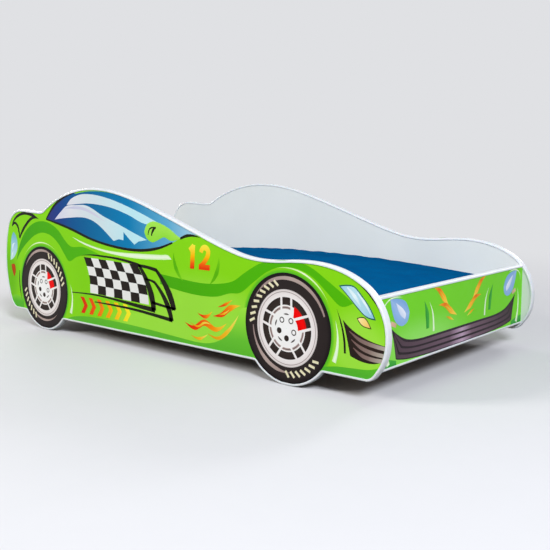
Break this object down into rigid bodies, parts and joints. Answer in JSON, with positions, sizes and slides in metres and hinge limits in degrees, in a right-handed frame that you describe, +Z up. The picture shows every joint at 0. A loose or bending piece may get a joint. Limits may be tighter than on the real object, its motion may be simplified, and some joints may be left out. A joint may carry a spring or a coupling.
{
  "type": "children's car bed",
  "caption": "Low child's bed with sides cut and printed as a racing car, boarded ends, a slatted base and a crowned mattress that lifts out.",
  "frame": {"origin": "middle of the footprint on the floor, under the bed", "axes": "+X to the car's nose, which is the foot of the bed, +Y to the car's left side, +Z up"},
  "size_m": [1.72, 0.846, 0.513],
  "materials": {
    "printed_board": "satin",
    "white_edging": "satin",
    "pine": "matte",
    "beech": "matte",
    "webbing": "matte",
    "zinc_steel": "satin",
    "zinc_casting": "satin",
    "mattress_fabric": "matte",
    "foam": "matte"
  },
  "bodies": {
    "bed_frame": {"side_panel_right": "printed_board", "side_trim_right": "white_edging", "slat_rail_right": "pine", "slat_strap_right": "webbing", "rail_screws_right": "zinc_steel", "side_panel_left": "printed_board", "side_trim_left": "white_edging", "slat_rail_left": "pine", "slat_strap_left": "webbing", "rail_screws_left": "zinc_steel", "front_panel": "printed_board", "front_trim_top": "white_edging", "front_trim_bottom": "white_edging", "cam_bolts_front": "zinc_steel", "cam_locks_front": "zinc_casting", "dowels_front": "beech", "rear_panel": "printed_board", "rear_trim_top": "white_edging", "rear_trim_bottom": "white_edging", "cam_bolts_rear": "zinc_steel", "cam_locks_rear": "zinc_casting", "dowels_rear": "beech", "slat_01": "pine", "slat_02": "pine", "slat_03": "pine", "slat_04": "pine", "slat_05": "pine", "slat_06": "pine", "slat_07": "pine", "slat_08": "pine", "slat_09": "pine", "slat_10": "pine", "slat_11": "pine", "slat_12": "pine", "slat_13": "pine", "slat_screws": "zinc_steel", "slat_staples": "zinc_steel"},
    "mattress": {"mattress_cover": "mattress_fabric", "mattress_core": "foam"}
  },
  "joints": [
    {"name": "mattress_lift", "type": "slide", "parent": "bed_frame", "child": "mattress", "axis": [0, 0, 1], "range_m": [0, 0.41]}
  ]
}
